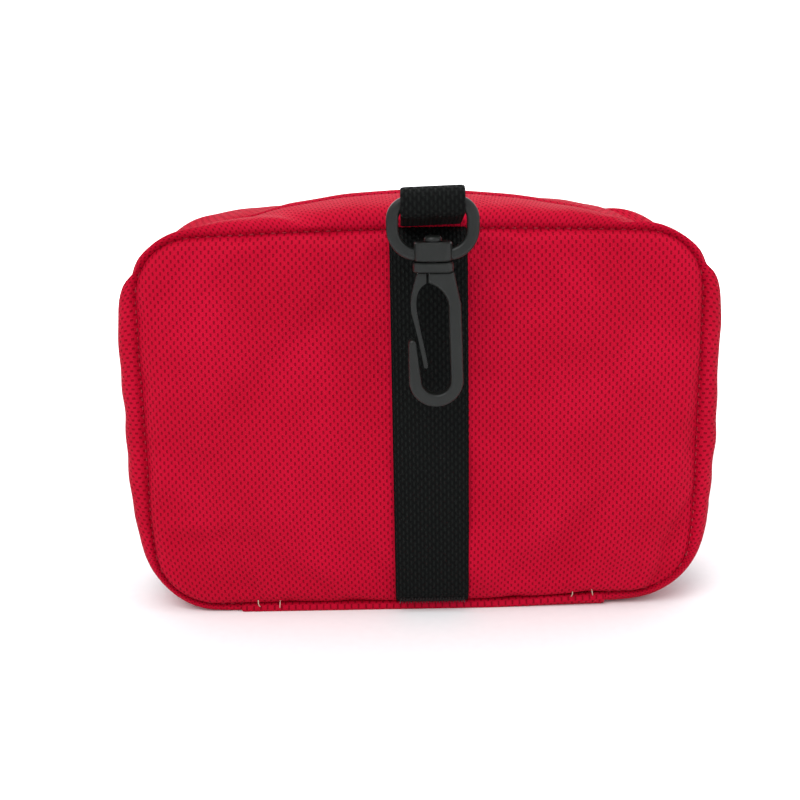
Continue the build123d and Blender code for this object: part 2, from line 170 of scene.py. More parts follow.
def basket(n, u, v, pitch, repeat):
    """Staggered cells of a basket weave: (distance across the column, distance along it), in mm."""
    column = n.math("FLOOR", n.math("DIVIDE", u, pitch))
    stagger = n.math("MULTIPLY", n.math("MODULO", n.math("ABSOLUTE", column), 2.0), repeat / 2)
    across = n.math("SUBTRACT", n.math("FRACT", n.math("DIVIDE", u, pitch)), 0.5)
    along = n.math("FRACT", n.math("DIVIDE", n.math("ADD", v, stagger), repeat))
    along = n.math("SUBTRACT", along, 0.5)
    across = n.math("MULTIPLY", n.math("ABSOLUTE", across), pitch)
    return across, n.math("MULTIPLY", n.math("ABSOLUTE", along), repeat)


def woven_red():
    """Coarse coated polyester: raised yarns with short dark gaps in staggered columns."""
    n = Nodes("red_oxford_cloth", 0.62, Specular_IOR_Level=0.06)
    u, v = n.cloth_space()
    wander = n.math("MULTIPLY", n.math("SUBTRACT", n.noise(160.0, 2.0), 0.5), 0.75)
    u = n.math("ADD", u, wander)
    v = n.math("ADD", v, n.math("MULTIPLY", wander, 0.8))
    across, along = basket(n, u, v, 1.2, 2.6)
    gap = n.math("MULTIPLY", n.ramp(across, 0.36, 0.13), n.ramp(along, 0.66, 0.4))
    yarn = n.math("COSINE", n.math("MULTIPLY", across, 2.4))
    fibre = n.noise(5200.0, 1.0)
    cloud = n.noise(42.0, 2.0)
    base = n.mix(n.ramp(cloud, 0.2, 0.85), rgb(0.4, 0.001, 0.017), rgb(0.47, 0.0018, 0.024))
    base = n.mix(n.math("MULTIPLY", n.ramp(fibre, 0.5, 0.8), 0.16), base, rgb(0.55, 0.01, 0.04))
    n.colour(n.mix(n.math("MULTIPLY", gap, 0.72), base, rgb(0.12, 0.0008, 0.005)))
    height = n.math("SUBTRACT", n.math("MULTIPLY", yarn, 0.5), gap)
    n.bump(n.math("ADD", height, n.math("MULTIPLY", fibre, 0.25)), 0.00026, 0.9)
    n.roughness(n.math("ADD", gap, fibre), 0.56, 0.8)
    return n.material


def webbing():
    """Heavy black nylon webbing: staggered lozenge stitches with plain, thicker edges."""
    n = Nodes("black_webbing_weave", 0.7, Specular_IOR_Level=0.08)
    u, v = n.cloth_space()
    across, along = basket(n, u, v, 1.25, 2.7)
    lump = n.math("MULTIPLY", n.ramp(across, 0.62, 0.1), n.ramp(along, 1.3, 0.25))
    edge_rib = n.math("ABSOLUTE", n.math("SINE", n.math("MULTIPLY", v, 2.3)))
    fibre = n.noise(6000.0, 1.0)
    base = n.mix(lump, rgb(0.0012, 0.0014, 0.0013), rgb(0.0075, 0.009, 0.008))
    n.colour(n.mix(n.math("MULTIPLY", n.ramp(fibre, 0.5, 0.85), 0.35), base, rgb(0.018, 0.019, 0.019)))
    height = n.math("ADD", lump, n.math("MULTIPLY", edge_rib, 0.12))
    n.bump(n.math("ADD", height, n.math("MULTIPLY", fibre, 0.2)), 0.0005, 1.0)
    n.roughness(fibre, 0.6, 0.85)
    return n.material


def plain_weave(name, dark, light, pitch, roughness=0.75, sheen=0.1, bump=0.0001):
    """Fine over-and-under weave for lining, tape, gauze and elastic, read from the UV map."""
    n = Nodes(name, roughness, Sheen_Weight=sheen)
    u, v = n.cloth_space()
    turn = 2 * math.pi / pitch
    over, under = [n.math("SINE", n.math("MULTIPLY", axis, turn)) for axis in (u, v)]
    waves = n.math("MULTIPLY", over, under)
    cloud = n.noise(70.0, 2.0)
    weave = n.math("ADD", n.math("MULTIPLY", waves, 0.5), 0.5)
    n.colour(n.mix(n.blend(weave, 0.7, cloud, 0.3), dark, light))
    n.bump(weave, bump, 1.0)
    n.roughness(cloud, roughness - 0.08, min(1.0, roughness + 0.08))
    return n.material


def solid_weave(name, dark, light, pitch, roughness=0.8, bump=0.0001):
    """The same weave on a solid without a UV map, read from the object's position."""
    n = Nodes(name, roughness, Sheen_Weight=0.1)
    turn = 2 * math.pi / pitch
    x, y, z = [n.math("SINE", n.math("MULTIPLY", axis, turn)) for axis in n.object_axes()]
    weave = n.math("ADD", n.math("MULTIPLY", n.math("ADD", x, n.math("ADD", y, z)), 0.17), 0.5)
    cloud = n.noise(70.0, 3.0)
    n.colour(n.mix(n.blend(weave, 0.65, cloud, 0.35), dark, light))
    n.bump(weave, bump, 1.0)
    n.roughness(cloud, roughness - 0.08, min(1.0, roughness + 0.08))
    return n.material


def moulded(name, dark, light, roughness, grain=900.0, bump=0.00004):
    """Moulded plastic: slight colour drift, fine grain and rubbed patches."""
    n = Nodes(name, roughness, Specular_IOR_Level=0.3)
    cloud = n.noise(60.0, 4.0)
    fine = n.noise(grain, 3.0)
    n.colour(n.mix(n.ramp(cloud, 0.3, 0.75), dark, light))
    n.bump(n.math("ADD", fine, n.math("MULTIPLY", cloud, 0.8)), bump, 0.6)
    n.roughness(n.blend(cloud, 0.6, fine, 0.4), roughness - 0.1, roughness + 0.16)
    return n.material


def brushed(name, dark, light, roughness):
    """Steel with a fine lengthwise brush and a few smudges."""
    n = Nodes(name, roughness, Metallic=1.0)
    x, y, z = n.object_axes()
    joined = n.new("ShaderNodeCombineXYZ")
    for socket, value in zip(joined.inputs, (n.math("MULTIPLY", x, 6.0), y, n.math("MULTIPLY", z, 0.12))):
        n.put(socket, value)
    lines = n.noise(1.2, 2.0, joined.outputs[0])
    cloud = n.noise(90.0, 3.0)
    n.colour(n.mix(lines, dark, light))
    n.bump(lines, 0.00002, 0.5)
    n.roughness(n.blend(lines, 0.5, cloud, 0.5), roughness - 0.08, roughness + 0.12)
    return n.material


def wrapper(name, dark, light, roughness, crinkle=0.0004, coat=0.0):
    """Paper or film packets: soft crinkles and a mottled surface."""
    n = Nodes(name, roughness, Coat_Weight=coat, Specular_IOR_Level=0.5)
    fold = n.noise(95.0, 5.0)
    grain = n.noise(1500.0, 2.0)
    n.colour(n.mix(n.ramp(fold, 0.35, 0.7), dark, light))
    n.bump(n.math("ADD", fold, n.math("MULTIPLY", grain, 0.06)), crinkle, 0.8)
    n.roughness(grain, roughness - 0.06, roughness + 0.1)
    return n.material


RED = woven_red()
WEBBING = webbing()
LINING = plain_weave("lining_nylon", rgb(0.022, 0.023, 0.026), rgb(0.06, 0.062, 0.068), 0.9, 0.6)
BINDING = plain_weave("binding_tape", rgb(0.008, 0.008, 0.009), rgb(0.026, 0.026, 0.028), 1.1)
ZIP_TAPE = plain_weave("zip_tape_weave", rgb(0.006, 0.006, 0.007), rgb(0.022, 0.022, 0.024), 0.8)
NET = moulded("net_yarn", rgb(0.012, 0.012, 0.014), rgb(0.03, 0.03, 0.034), 0.6)
COIL = moulded("zip_coil_nylon", rgb(0.01, 0.01, 0.011), rgb(0.022, 0.022, 0.024), 0.42)
THREAD = solid_weave("red_thread", rgb(0.25, 0.002, 0.01), rgb(0.5, 0.01, 0.035), 0.35)
PALE_THREAD = solid_weave("pale_thread", rgb(0.42, 0.3, 0.2), rgb(0.7, 0.55, 0.42), 0.3)
BLACK_PLASTIC = moulded("black_acetal", rgb(0.0065, 0.0075, 0.0065), rgb(0.011, 0.0125, 0.011), 0.36)
BLACK_METAL = moulded("black_painted_zinc", rgb(0.009, 0.009, 0.009), rgb(0.02, 0.02, 0.02), 0.33, 400.0)
GAUZE = plain_weave("cotton_gauze", rgb(0.62, 0.6, 0.55), rgb(0.86, 0.85, 0.81), 1.1, 0.9, 0.2, 0.0003)
TAPE = plain_weave("adhesive_tape", rgb(0.6, 0.58, 0.53), rgb(0.8, 0.78, 0.73), 0.6, 0.8)
CARD = wrapper("grey_board", rgb(0.36, 0.33, 0.27), rgb(0.52, 0.48, 0.41), 0.85, 0.0001)
PAPER = wrapper("sterile_paper", rgb(0.68, 0.69, 0.7), rgb(0.86, 0.86, 0.85), 0.6)
PLASTER = wrapper("plaster_wrap", rgb(0.62, 0.5, 0.4), rgb(0.8, 0.68, 0.56), 0.55)
FOIL = wrapper("sachet_film", rgb(0.3, 0.42, 0.5), rgb(0.5, 0.62, 0.7), 0.25, 0.0005, 0.6)
FILM = wrapper("glove_bag", rgb(0.32, 0.46, 0.62), rgb(0.5, 0.62, 0.75), 0.2, 0.0007, 0.8)
STEEL = brushed("stainless_steel", rgb(0.42, 0.43, 0.45), rgb(0.68, 0.69, 0.7), 0.26)
GRIP = moulded("red_grip", rgb(0.42, 0.01, 0.015), rgb(0.55, 0.02, 0.025), 0.3)


# ---- outlines ---------------------------------------------------------------------------------
def arc(centre, radius, start, stop, steps):
    """Points of an arc, its end left out."""
    turns = [start + (stop - start) * i / steps for i in range(steps)]
    return [(centre[0] + radius * math.cos(a), centre[1] + radius * math.sin(a)) for a in turns]


def line(start, stop, steps):
    shares = [i / steps for i in range(steps)]
    return [(start[0] + (stop[0] - start[0]) * t, start[1] + (stop[1] - start[1]) * t) for t in shares]


def outline(width, height, drop, top_r, low_r):
    """Closed rounded outline with an arched top, counterclockwise from the low left corner's middle."""
    half = width / 2
    crown_r = (half**2 + drop**2) / (2 * drop)
    crown_z = height - crown_r
    corner_z = crown_z + math.sqrt((crown_r - top_r) ** 2 - (half - top_r) ** 2)
    tilt = math.atan2(corner_z - crown_z, half - top_r)
    low_left, low_right = (low_r - half, low_r), (half - low_r, low_r)
    quarter = math.pi / 2
    points = arc(low_left, low_r, 2.5 * quarter, 3 * quarter, CORNER_STEPS // 2)
    points += line((low_left[0], 0), (low_right[0], 0), WIDE_STEPS)
    points += arc(low_right, low_r, -quarter, 0, CORNER_STEPS)
    points += line((half, low_r), (half, corner_z), TALL_STEPS)
    points += arc((half - top_r, corner_z), top_r, 0, tilt, CORNER_STEPS)
    points += arc((0, crown_z), crown_r, tilt, math.pi - tilt, WIDE_STEPS)
    points += arc((top_r - half, corner_z), top_r, math.pi - tilt, math.pi, CORNER_STEPS)
    points += line((-half, corner_z), (-half, low_r), TALL_STEPS)
    points += arc(low_left, low_r, 2 * quarter, 2.5 * quarter, CORNER_STEPS // 2)
    return np.array(points)


SEAM_LINE, FULL_LINE = outline(*SEAM), outline(*FULL)
COUNT = len(SEAM_LINE)


def outward(points):
    """Unit normals that point out of a closed counterclockwise outline."""
    along = np.roll(points, -1, axis=0) - np.roll(points, 1, axis=0)
    normal = np.stack([along[:, 1], -along[:, 0]], axis=1)
    return normal / np.linalg.norm(normal, axis=1, keepdims=True)


SEAM_OUT, FULL_OUT = outward(SEAM_LINE), outward(FULL_LINE)


def bell(value, middle, width):
    return math.exp(-(((value - middle) / width) ** 2))


def smooth(value):
    value = min(1.0, max(0.0, value))
    return value * value * (3 - 2 * value)


def settle(x, z, seamness):
    """How the soft pouch sits: lower edge of the seams lifted off the table, lower sides drawn in."""
    low = max(0.0, 1 - z / 34)
    z += 2.3 * seamness * low**1.5
    z += 2.2 * seamness * smooth((x - 15) / 60) * low**2
    x *= 1 - 0.03 * low**1.3
    z -= 2.5 * (1 - seamness) * smooth((abs(x) - 56) / 40) * smooth((z - 98) / 24)
    return x, z


# ---- meshes -----------------------------------------------------------------------------------
def finish_piece(mesh, name, material, body, smoothing=0, thickness=0.0, nodes=(), ride=True):
    """Turns a mesh into a named piece on a body, with optional thickness and subdivision."""
    for face in mesh.polygons:
        face.use_smooth = True
    piece = bpy.data.objects.new(name, mesh)
    bpy.context.collection.objects.link(piece)
    mesh.materials.append(material)
    if thickness:
        solid = piece.modifiers.new("thickness", "SOLIDIFY")
        solid.thickness = thickness * MM
        solid.offset = -1
    if smoothing:
        piece.modifiers.new("smooth", "SUBSURF").render_levels = smoothing
        piece.modifiers["smooth"].levels = smoothing
    if nodes:
        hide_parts(*nodes)
    if ride:
        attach(piece, body)
    return piece


def grid(rows, uv_rows, closed=False, flip=False):
    """Mesh from rows of points in mm, with a UV map in mm. closed joins each row's end to its start."""
    across = len(rows[0])
    mesh = bpy.data.meshes.new("grid")
    points = [tuple(c * MM for c in point) for row in rows for point in row]
    faces, corners = [], []
    for i in range(len(rows) - 1):
        for j in range(across if closed else across - 1):
            k = (j + 1) % across
            quad = [(i, j), (i, k), (i + 1, k), (i + 1, j)]
            uvs = [uv_rows[a][b] for a, b in quad]
            if closed and k == 0:
                uvs = [uv_rows[i][j], uv_rows[i][across], uv_rows[i + 1][across], uv_rows[i + 1][j]]
            if flip:
                quad, uvs = quad[::-1], uvs[::-1]
            faces.append([a * across + b for a, b in quad])
            corners.extend(uvs)
    mesh.from_pydata(points, [], faces)
    layer = mesh.uv_layers.new(name="cloth")
    layer.data.foreach_set("uv", np.array(corners, np.float32).ravel())
    mesh.update()
    return mesh


def lengths(points):
    """Running length along a row of points."""
    run = [0.0]
    for a, b in zip(points, points[1:]):
        run.append(run[-1] + math.dist(a, b))
    return run


def ribbon(path, width, x_middle, bow=0.0, steps=10):
    """Rows across a strap that follows a path of (y, z) points; its middle bows towards -Y."""
    run = lengths(path)
    rows, uvs = [], []
    for (y, z), length in zip(path, run):
        shares = [i / steps for i in range(steps + 1)]
        rows.append([(x_middle + width * (s - 0.5), y - bow * (1 - (2 * s - 1) ** 2), z) for s in shares])
        uvs.append([(width * s, length) for s in shares])
    return rows, uvs


# ---- padded panels ----------------------------------------------------------------------------
def patch(values, steps_u, steps_v):
    """Coons patch over a closed outline that starts at its low left corner."""
    low = values[: steps_u + 1]
    right = values[steps_u : steps_u + steps_v + 1]
    top = values[steps_u + steps_v : 2 * steps_u + steps_v + 1][::-1]
    left = np.vstack([values[2 * steps_u + steps_v :], values[:1]])[::-1]
    u = np.linspace(0, 1, steps_u + 1)[None, :, None]
    v = np.linspace(0, 1, steps_v + 1)[:, None, None]
    flat = (1 - v) * low[None] + v * top[None] + (1 - u) * left[:, None] + u * right[:, None]
    corners = (1 - u) * (1 - v) * low[0] + u * (1 - v) * low[-1] + (1 - u) * v * top[0] + u * v * top[-1]
    return flat - corners


def away_from_seam(field):
    """Distance in mm from each point of a patch to the seam."""
    flat = field.reshape(-1, 2)
    gaps = np.linalg.norm(flat[:, None, :] - SEAM_LINE[None, :, :], axis=2)
    return gaps.min(axis=1).reshape(field.shape[:2])


def side_of(x, z, start, stop):
    """Signed distance in mm of (x, z) from the line start-stop, positive on its right."""
    dx, dz = stop[0] - start[0], stop[1] - start[1]
    return ((x - start[0]) * dz - (z - start[1]) * dx) / math.hypot(dx, dz)


def back_creases(x, z):
    """Depth in mm of the dents and creases of the back panel at (x, z)."""
    ridge = side_of(x, z, (79.5, 8.0), (90.0, 40.0))
    ridge += 3.2 * bell(z, 27, 14)
    corner = smooth(ridge / 1.7) * smooth((44 - z) / 14) * smooth(z / 8)
    dent = 4.0 * corner
    dent += 1.1 * bell(side_of(x, z, (-92, 96), (-70, 122)), 0, 4.5) * bell(x, -84, 12) * bell(z, 107, 14)
    dent += 0.7 * bell(side_of(x, z, (-45, 126), (-14, 108)), 0, 4) * bell(x, -26, 14)
    dent -= 0.5 * bell(side_of(x, z, (-40, 128), (-10, 116)), 0, 4) * bell(x, -22, 16)
    dent += 0.6 * bell(side_of(x, z, (84, 100), (60, 124)), 0, 4) * bell(x, 76, 12)
    return dent


def undulation(x, z, seed):
    """Slow unevenness of padded cloth, in mm."""
    value = math.sin(x / 17 + seed) * math.cos(z / 13 - 2 * seed)
    value += 0.6 * math.sin(x / 7.3 - z / 9.1 + 3 * seed)
    value += 0.35 * math.sin(x / 4.1 + z / 5.3 + seed)
    return 0.28 * value


def pillow(seam_y, sign, crown, creases, seed):
    """A padded panel: it dives into the seam groove all round and swells towards its middle."""
    steps_u, steps_v = WIDE_STEPS + CORNER_STEPS, TALL_STEPS + CORNER_STEPS
    field = patch(SEAM_LINE, steps_u, steps_v)
    away = away_from_seam(field)
    rows, uvs = [], []
    for row, gaps in zip(field, away):
        points = []
        for (x, z), gap in zip(row, gaps):
            swell = 3.9 * (1 - math.exp(-gap / 1.5)) + crown * (1 - math.exp(-gap / 26))
            swell += smooth(gap / 12) * undulation(x, z, seed) - creases(x, z) * smooth(gap / 1.5)
            swell = max(swell, min(1.3, 1.6 * gap))
            sx, sz = settle(x, z, 1.0)
            points.append((sx, seam_y + sign * (swell - 1.3), sz))
        rows.append(points)
        uvs.append([(x, z) for x, z in row])
    return rows, uvs


def pucker(piece, pinned, grow, pressure, cap):
    """Runs a short cloth simulation with the border pinned, so that the padded cloth swells and puckers."""
    start = np.array([v.co for v in piece.data.vertices])
    group = piece.vertex_groups.new(name="pinned")
    group.add(pinned, 1.0, "REPLACE")
    cloth = piece.modifiers.new("swell", "CLOTH")
    cloth.settings.vertex_group_mass = "pinned"
    cloth.settings.quality = 8
    cloth.settings.mass = 0.25
    cloth.settings.tension_stiffness = cloth.settings.compression_stiffness = 18
    cloth.settings.bending_stiffness = 0.6
    cloth.settings.shrink_min = -grow
    cloth.settings.use_pressure = True
    cloth.settings.uniform_pressure_force = pressure
    cloth.settings.effector_weights.gravity = 0
    cloth.collision_settings.use_collision = False
    scene = bpy.context.scene
    cloth.point_cache.frame_start, cloth.point_cache.frame_end = 1, 16
    for step in range(1, 17):
        scene.frame_set(step)
    evaluated = piece.evaluated_get(bpy.context.evaluated_depsgraph_get())
    moved = np.array([v.co for v in evaluated.data.vertices])
    piece.modifiers.remove(cloth)
    piece.vertex_groups.remove(group)
    shift = moved - start
    size = np.linalg.norm(shift, axis=1, keepdims=True)
    shift *= np.minimum(1.0, cap * MM / np.maximum(size, 1e-9))
    piece.data.vertices.foreach_set("co", (start + shift).astype(np.float32).ravel())
    piece.data.update()
    scene.frame_set(1)


def rim_indices(rows):
    across, down = len(rows[0]), len(rows)
    spots = [(i, j) for i in range(down) for j in range(across)]
    return [i * across + j for i, j in spots if i in (0, down - 1) or j in (0, across - 1)]


def panel(name, seam_y, sign, crown, creases, body, nodes, seed):
    rows, uvs = pillow(seam_y, sign, crown, creases, seed)
    mesh = grid(rows, uvs, flip=sign > 0)
    piece = finish_piece(mesh, name, RED, body, nodes=nodes, ride=False)
    pucker(piece, rim_indices(rows), 0.012, 0.35, 1.2)
    solid = piece.modifiers.new("thickness", "SOLIDIFY")
    solid.thickness, solid.offset = 0.8 * MM, -1
    piece.modifiers.new("smooth", "SUBSURF").render_levels = 1
    piece.modifiers["smooth"].levels = 1
    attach(piece, body)
    return piece


# ---- gussets ----------------------------------------------------------------------------------
# share of the way from the seam outline to the fullest one, share of the depth, extra bulge in mm
PROFILE = (
    (0.00, -0.045, -0.9), (0.00, -0.03, -0.2), (0.00, 0.015, 0.9), (0.02, 0.03, 2.0), (0.08, 0.015, 3.4),
    (0.20, -0.04, 4.2), (0.36, -0.15, 4.2), (0.52, -0.30, 3.7), (0.68, -0.45, 3.0), (0.84, -0.59, 2.2),
    (0.95, -0.69, 1.3), (0.99, -0.745, 0.4), (0.99, -0.765, -0.5), (0.97, -0.73, -1.0),
)


def fold_depth(index, share):
    """How much of the bulge is left at one place round the pouch: folds and pinched corners."""
    place = 2 * math.pi * index / COUNT
    x, z = SEAM_LINE[index]
    upper = smooth((z - 98) / 20)
    keep = 1.0 - upper * (0.3 * bell(x, -86, 10) + 0.3 * bell(x, 86, 10))
    keep -= upper * 0.55 * bell(x - 12 * share, 63, 3.4) * smooth(share * 6)
    keep -= upper * 0.4 * bell(x + 14 * share, -34, 5)
    keep -= 0.6 * bell(z, 119, 1.3) * smooth((abs(x) - 84) / 3)
    keep -= 0.3 * bell(z, 8, 14) * smooth((abs(x) - 66) / 10)
    return keep + 0.05 * math.sin(11 * place) + 0.03 * math.sin(27 * place)


def gusset_rows(seam_y, indices, ripple):
    """Rows of the side wall's cloth from the seam groove to the hem beside the zip."""
    rows = []
    round_run = lengths([tuple(FULL_LINE[i % COUNT]) for i in indices])
    for share, depth, bulge in PROFILE:
        points = []
        for i in indices:
            i %= COUNT
            seam, full = SEAM_LINE[i], FULL_LINE[i]
            normal = SEAM_OUT[i] * (1 - share) + FULL_OUT[i] * share
            kept = fold_depth(i, share) if bulge > 1 else 1.0
            out = bulge * kept * (0.55 + 0.45 * smooth(seam[1] / 60))
            out += ripple * math.sin(i * 0.61) * share * (1 - share)
            x, z = seam + (full - seam) * share + normal * out
            x, z = settle(x, z, (1 - share) ** 2)
            points.append((x, seam_y * (1 + depth), max(z, 0.04)))
        rows.append(points)
    across = lengths([row[len(row) // 2] for row in rows])
    return rows, [[(length, cross) for length in round_run] for cross in across]


def open_indices(half_gap):
    """Outline indices round the pouch that leave a gap of that half width at the bottom."""
    reach = half_gap * SEAM[0] / FULL[0]
    first = next(i for i in range(COUNT // 2) if SEAM_LINE[i][0] > reach)
    last = COUNT + next(i for i in range(COUNT // 4) if SEAM_LINE[i][0] > -reach)
    return list(range(first, last))


def gusset(name, seam_y, body, node):
    indices = open_indices(BASE_HALF * 1.02)
    rows, uvs = gusset_rows(seam_y, indices, 0.5)
    mesh = grid(rows, uvs, flip=seam_y < 0)
    return finish_piece(mesh, name, RED, body, smoothing=1, thickness=0.9, nodes=(node,))


def bottom_strip():
    """The flat cloth the pouch stands on, rolled up at the back seam."""
    profile = [(-26.7, 2.2), (-28.2, 2.1), (-29.0, 1.5), (-28.9, 0.7), (-28.2, 0.15), (-26.5, 0.04)]
    profile += [(y, 0.04) for y in range(-24, 20, 4)] + [(21.2, 0.04)]
    run = lengths(profile)
    steps = 60
    rows, uvs = [], []
    for i in range(steps + 1):
        x = 62.4 * (2 * i / steps - 1)
        lift = 2.2 * smooth((x - 15) / 60)
        rows.append([(x, y, z + lift * smooth((-24 - y) / 4) * (z > 0.1)) for y, z in profile])
        uvs.append([(x, length) for length in run])
    mesh = grid(rows, uvs, flip=True)
    return finish_piece(mesh, "bottom_gusset_cloth", RED, "tray", 1, 0.8, ("bottom_gusset",))


def cover_fold():
    """Strip of cloth between the bottom gusset and the cover's seam."""
    profile = [(20.6, 0.3), (21.4, 0.1), (22.2, 0.06), (23.0, 0.08)]
    profile += [(23.8, 0.4), (24.0, 1.2), (23.2, 2.0), (21.6, 2.3)]
    run = lengths(profile)
    steps = 40
    rows, uvs = [], []
    for i in range(steps + 1):
        x = -BASE_HALF * 1.0 + 2 * BASE_HALF * i / steps
        rows.append([(x, y, z) for y, z in profile])
        uvs.append([(x, length) for length in run])
    piece = finish_piece(grid(rows, uvs, flip=True), "cover_fold_cloth", RED, None, 1, 0.5, ride=False)
    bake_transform(piece)


def side_web(side):
    """Bellows of cloth beside the fold, pleated flat as at rest."""
    pleats, across = 14, 8
    rows, uvs = [], []
    for i in range(pleats + 1):
        x = side * (BASE_HALF - 0.6 + 1.5 * i / pleats)
        rise = 1.4 + 0.5 * (i % 2)
        rows.append([(x, 7.0 + 15.6 * j / across, rise) for j in range(across + 1)])
        uvs.append([(15.6 * j / across, 2.0 * i) for j in range(across + 1)])
    name = "side_web_right" if side > 0 else "side_web_left"
    piece = finish_piece(grid(rows, uvs), name, RED, None, ride=False)
    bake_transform(piece)


def rim_point(index, y, inset):
    """A point of the side wall at depth y, that far inside the outline, and its outward normal."""
    index %= COUNT
    fullness = 1 - y / (BACK_Y if y < 0 else FRONT_Y)
    flat = SEAM_LINE[index] * (1 - fullness) + FULL_LINE[index] * fullness
    normal = SEAM_OUT[index] * (1 - fullness) + FULL_OUT[index] * fullness
    x, z = flat - normal * inset
    x, z = settle(x, z, (1 - fullness) ** 2)
    return Vector((x, y, z)), Vector((normal[0], 0, normal[1])).normalized()


def wall_band(name, y_from, y_to, inset, thickness, half_gap, material, body, node):
    """A flat band that follows the side wall: zip tape or seam binding."""
    indices = open_indices(half_gap) if half_gap else list(range(COUNT + 1))
    run = lengths([tuple(FULL_LINE[i % COUNT]) for i in indices])
    rows, uvs = [], []
    for k in range(5):
        y = y_from + (y_to - y_from) * k / 4
        bow = 0.35 * math.sin(math.pi * k / 4)
        rows.append([tuple(rim_point(i, y, inset + bow)[0]) for i in indices])
        uvs.append([(length, y) for length in run])
    mesh = grid(rows, uvs, flip=y_from > 0)
    return finish_piece(mesh, name, material, body, 1, thickness, (node,))


def tube(points, radius, sides=6, closed=False):
    """Mesh tube in mm along a list of points."""
    mesh = bpy.data.meshes.new("tube")
    verts, faces = [], []
    count = len(points)
    for i, point in enumerate(points):
        ahead = points[(i + 1) % count] if closed or i + 1 < count else point
        behind = points[i - 1] if closed or i else point
        along = (Vector(ahead) - Vector(behind)).normalized()
        steep = abs(along.y) > 0.95
        first = (along.orthogonal() if steep else along.cross(Vector((0, 1, 0)))).normalized()
        second = along.cross(first)
        for k in range(sides):
            turn = 2 * math.pi * k / sides
            spot = Vector(point) + (first * math.cos(turn) + second * math.sin(turn)) * radius
            verts.append(spot * MM)
    for i in range(count if closed else count - 1):
        for k in range(sides):
            a, b = i * sides + k, i * sides + (k + 1) % sides
            c, d = ((i + 1) % count) * sides + (k + 1) % sides, ((i + 1) % count) * sides + k
            faces.append((a, b, c, d))
    if not closed:
        faces.append(tuple(range(sides))[::-1])
        faces.append(tuple((count - 1) * sides + k for k in range(sides)))
    mesh.from_pydata(verts, [], faces)
    mesh.update()
    return mesh


def zip_coil(name, sign, body, node):
    """Nylon coil of one zip half: a flattened helix along the tape's edge."""
    indices = open_indices(COIL_END)
    path = [rim_point(i, sign * 1.0, 2.3) for i in indices]
    run = lengths([tuple(p) for p, _ in path])
    turns = int(run[-1] / 1.55)
    points = []
    steps = 8
    k = 0
    for step in range(turns * steps + 1):
        length = run[-1] * step / (turns * steps)
        while k + 2 < len(run) and run[k + 1] < length:
            k += 1
        share = (length - run[k]) / (run[k + 1] - run[k])
        centre = path[k][0].lerp(path[k + 1][0], share)
        normal = path[k][1].lerp(path[k + 1][1], share)
        turn = 2 * math.pi * step / steps + (math.pi if sign > 0 else 0)
        across = Vector((0, sign * 1.15 * math.cos(turn), 0))
        points.append(centre + across + normal * 0.75 * math.sin(turn))
    finish_piece(tube(points, 0.3, 5), name, COIL, body, nodes=(node,))


def lining_panel(name, y, body, node):
    field = patch(SEAM_LINE, WIDE_STEPS + CORNER_STEPS, TALL_STEPS + CORNER_STEPS)
    centre = np.array([0.0, SEAM[1] / 2])
    rows, uvs = [], []
    for row in field[::2]:
        inner = [centre + (spot - centre) * 0.975 for spot in row[::2]]
        placed = [(settle(x, z, 1.0), y + 0.2 * undulation(x, z, 1.0)) for x, z in inner]
        rows.append([(sx, depth, sz) for (sx, sz), depth in placed])
        uvs.append([tuple(spot) for spot in inner])
    mesh = grid(rows, uvs, flip=y > 0)
    return finish_piece(mesh, name, LINING, body, 1, 0.3, (node,))


def seam_cord(name, y, body):
    """Thread row sunk in the seam groove: short stitches all round."""
    mesh = bmesh.new()
    for i in range(0, COUNT, 2):
        a, b = rim_point(i, y, 0.35)[0], rim_point(i + 1, y, 0.35)[0]
        along = (b - a) * 0.36
        middle = (a + b) / 2
        matrix = Matrix.Translation(middle * MM) @ along.to_track_quat("Z", "Y").to_matrix().to_4x4()
        bmesh.ops.create_cone(mesh, cap_ends=True, segments=6, radius1=0.28 * MM, radius2=0.28 * MM,
                              depth=2 * along.length * MM, matrix=matrix)
    made = bpy.data.meshes.new(name)
    mesh.to_mesh(made)
    mesh.free()
    finish_piece(made, name, THREAD, body)


BACK_NODES = ("back_panel_shell", "back_panel_foam")
FRONT_NODES = ("front_panel_shell", "front_panel_foam")
panel("back_panel_cloth", BACK_Y, -1, 3.4, back_creases, "tray", BACK_NODES, 0.4)
panel("front_panel_cloth", FRONT_Y, 1, 3.2, lambda x, z: 0.0, "cover", FRONT_NODES, 2.1)
gusset("back_gusset_cloth", BACK_Y, "tray", "back_gusset")
gusset("front_gusset_cloth", FRONT_Y, "cover", "front_gusset")
bottom_strip()
cover_fold()
side_web(1)
side_web(-1)
seam_cord("back_seam_stitches", BACK_Y + 0.9, "tray")
seam_cord("front_seam_stitches", FRONT_Y - 0.9, "cover")
lining_panel("back_lining_cloth", BACK_Y + 0.75, "tray", "back_lining")
lining_panel("front_lining_cloth", FRONT_Y - 0.75, "cover", "front_lining")
wall_band("back_binding_tape", -27.0, -17.0, 2.2, 0.7, None, BINDING, "tray", "back_seam_binding")
wall_band("front_binding_tape", 21.2, 13.4, 2.2, 0.7, None, BINDING, "cover", "front_seam_binding")
wall_band("zip_tape_back_cloth", -13.0, -1.5, 1.6, 0.5, TAPE_END, ZIP_TAPE, "tray", "zip_tape_back")
wall_band("zip_tape_front_cloth", 13.0, 1.5, 1.6, 0.5, TAPE_END, ZIP_TAPE, "cover", "zip_tape_front")
zip_coil("zip_coil_back_turns", -1, "tray", "zip_coil_back")
zip_coil("zip_coil_front_turns", 1, "cover", "zip_coil_front")


